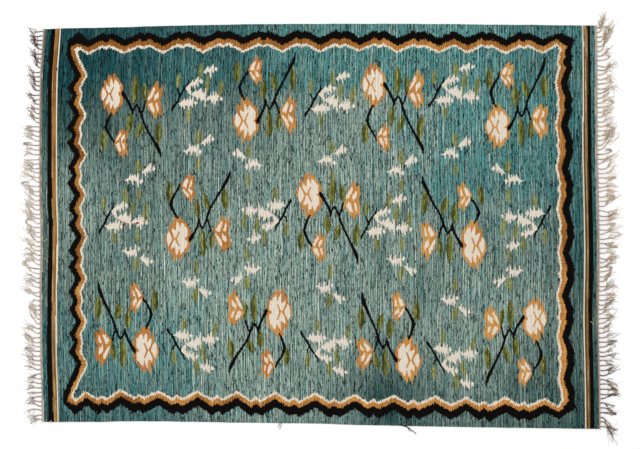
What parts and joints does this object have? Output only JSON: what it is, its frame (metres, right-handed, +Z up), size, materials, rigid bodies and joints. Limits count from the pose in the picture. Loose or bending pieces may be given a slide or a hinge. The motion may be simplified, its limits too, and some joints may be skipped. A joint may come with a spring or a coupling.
{
  "type": "kilim rug",
  "caption": "Flatwoven rectangular floor rug that lies flat, with a floral field, zigzag border, striped ends and a knotted fringe at both ends.",
  "frame": {"origin": "on the floor, under the middle of the rug's whole footprint with both fringes", "axes": "+X along the warps, the rug's length, towards the wider end; +Y across the rug; +Z up out of the face"},
  "size_m": [2.567, 1.8148, 0.003],
  "materials": {
    "woven_wool": "flat tapestry weave of wool, blue-green ground streaked from weft to weft, cream, orange-brown, olive and black figures",
    "warp_fringe": "undyed beige-brown warp yarn, knotted at the cloth and frayed at the tips"
  },
  "bodies": {
    "root": {"cloth": "woven_wool", "fringe_left": "warp_fringe", "fringe_right": "warp_fringe"}
  },
  "joints": []
}
